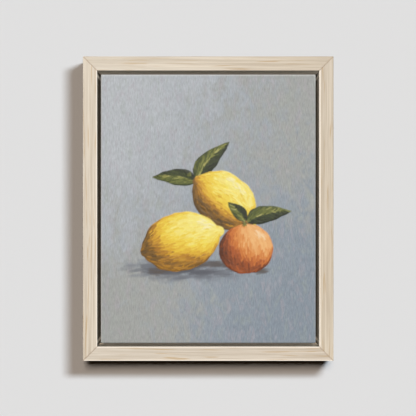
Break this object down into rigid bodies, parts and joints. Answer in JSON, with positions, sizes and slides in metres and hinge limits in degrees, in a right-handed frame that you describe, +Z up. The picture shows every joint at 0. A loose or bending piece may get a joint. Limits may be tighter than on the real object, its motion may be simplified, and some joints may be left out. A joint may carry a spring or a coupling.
{
  "type": "framed canvas painting",
  "caption": "Upright stretched canvas with a painted front, floating in a light wood frame with a dark inside; it hangs on a wall by a notched hanger.",
  "frame": {"origin": "the point of the wall behind the middle notch of the hanger, where the wall's nail carries the frame", "axes": "+Z up, +Y into the wall, so the painted front faces -Y; +X to the right as seen from the front"},
  "size_m": [0.2366, 0.034, 0.2874],
  "materials": {
    "light_wood": "pale clear-finished straight-grained wood, with the rebate painted near black",
    "painted_cloth": "primed cotton canvas with brushed oil paint on the front and raw cloth behind",
    "bar_wood": "planed bare softwood",
    "spline_wood": "bare plywood",
    "staple_wire": "galvanised wire",
    "screw_steel": "zinc plated",
    "nail_steel": "bare spring steel",
    "hanger_brass": "brass plated steel, lightly tarnished",
    "bumper_rubber": "matt black"
  },
  "bodies": {
    "root": {"frame_rail_top": "light_wood", "frame_rail_right": "light_wood", "frame_rail_bottom": "light_wood", "frame_rail_left": "light_wood", "canvas_cloth": "painted_cloth", "stretcher_bar_top": "bar_wood", "stretcher_bar_right": "bar_wood", "stretcher_bar_bottom": "bar_wood", "stretcher_bar_left": "bar_wood", "corner_spline_top": "spline_wood", "corner_spline_right": "spline_wood", "corner_spline_bottom": "spline_wood", "corner_spline_left": "spline_wood", "staple_top_1": "staple_wire", "staple_top_2": "staple_wire", "staple_top_3": "staple_wire", "staple_top_4": "staple_wire", "staple_top_5": "staple_wire", "staple_right_1": "staple_wire", "staple_right_2": "staple_wire", "staple_right_3": "staple_wire", "staple_right_4": "staple_wire", "staple_right_5": "staple_wire", "staple_right_6": "staple_wire", "staple_bottom_1": "staple_wire", "staple_bottom_2": "staple_wire", "staple_bottom_3": "staple_wire", "staple_bottom_4": "staple_wire", "staple_bottom_5": "staple_wire", "staple_left_1": "staple_wire", "staple_left_2": "staple_wire", "staple_left_3": "staple_wire", "staple_left_4": "staple_wire", "staple_left_5": "staple_wire", "staple_left_6": "staple_wire", "screw_right_1": "screw_steel", "screw_right_2": "screw_steel", "screw_left_1": "screw_steel", "screw_left_2": "screw_steel", "vee_nail_top_1": "nail_steel", "vee_nail_top_2": "nail_steel", "vee_nail_right_1": "nail_steel", "vee_nail_right_2": "nail_steel", "vee_nail_bottom_1": "nail_steel", "vee_nail_bottom_2": "nail_steel", "vee_nail_left_1": "nail_steel", "vee_nail_left_2": "nail_steel", "sawtooth_hanger": "hanger_brass", "hanger_brad_left": "hanger_brass", "hanger_brad_right": "hanger_brass", "bumper_left": "bumper_rubber", "bumper_right": "bumper_rubber"}
  },
  "joints": []
}
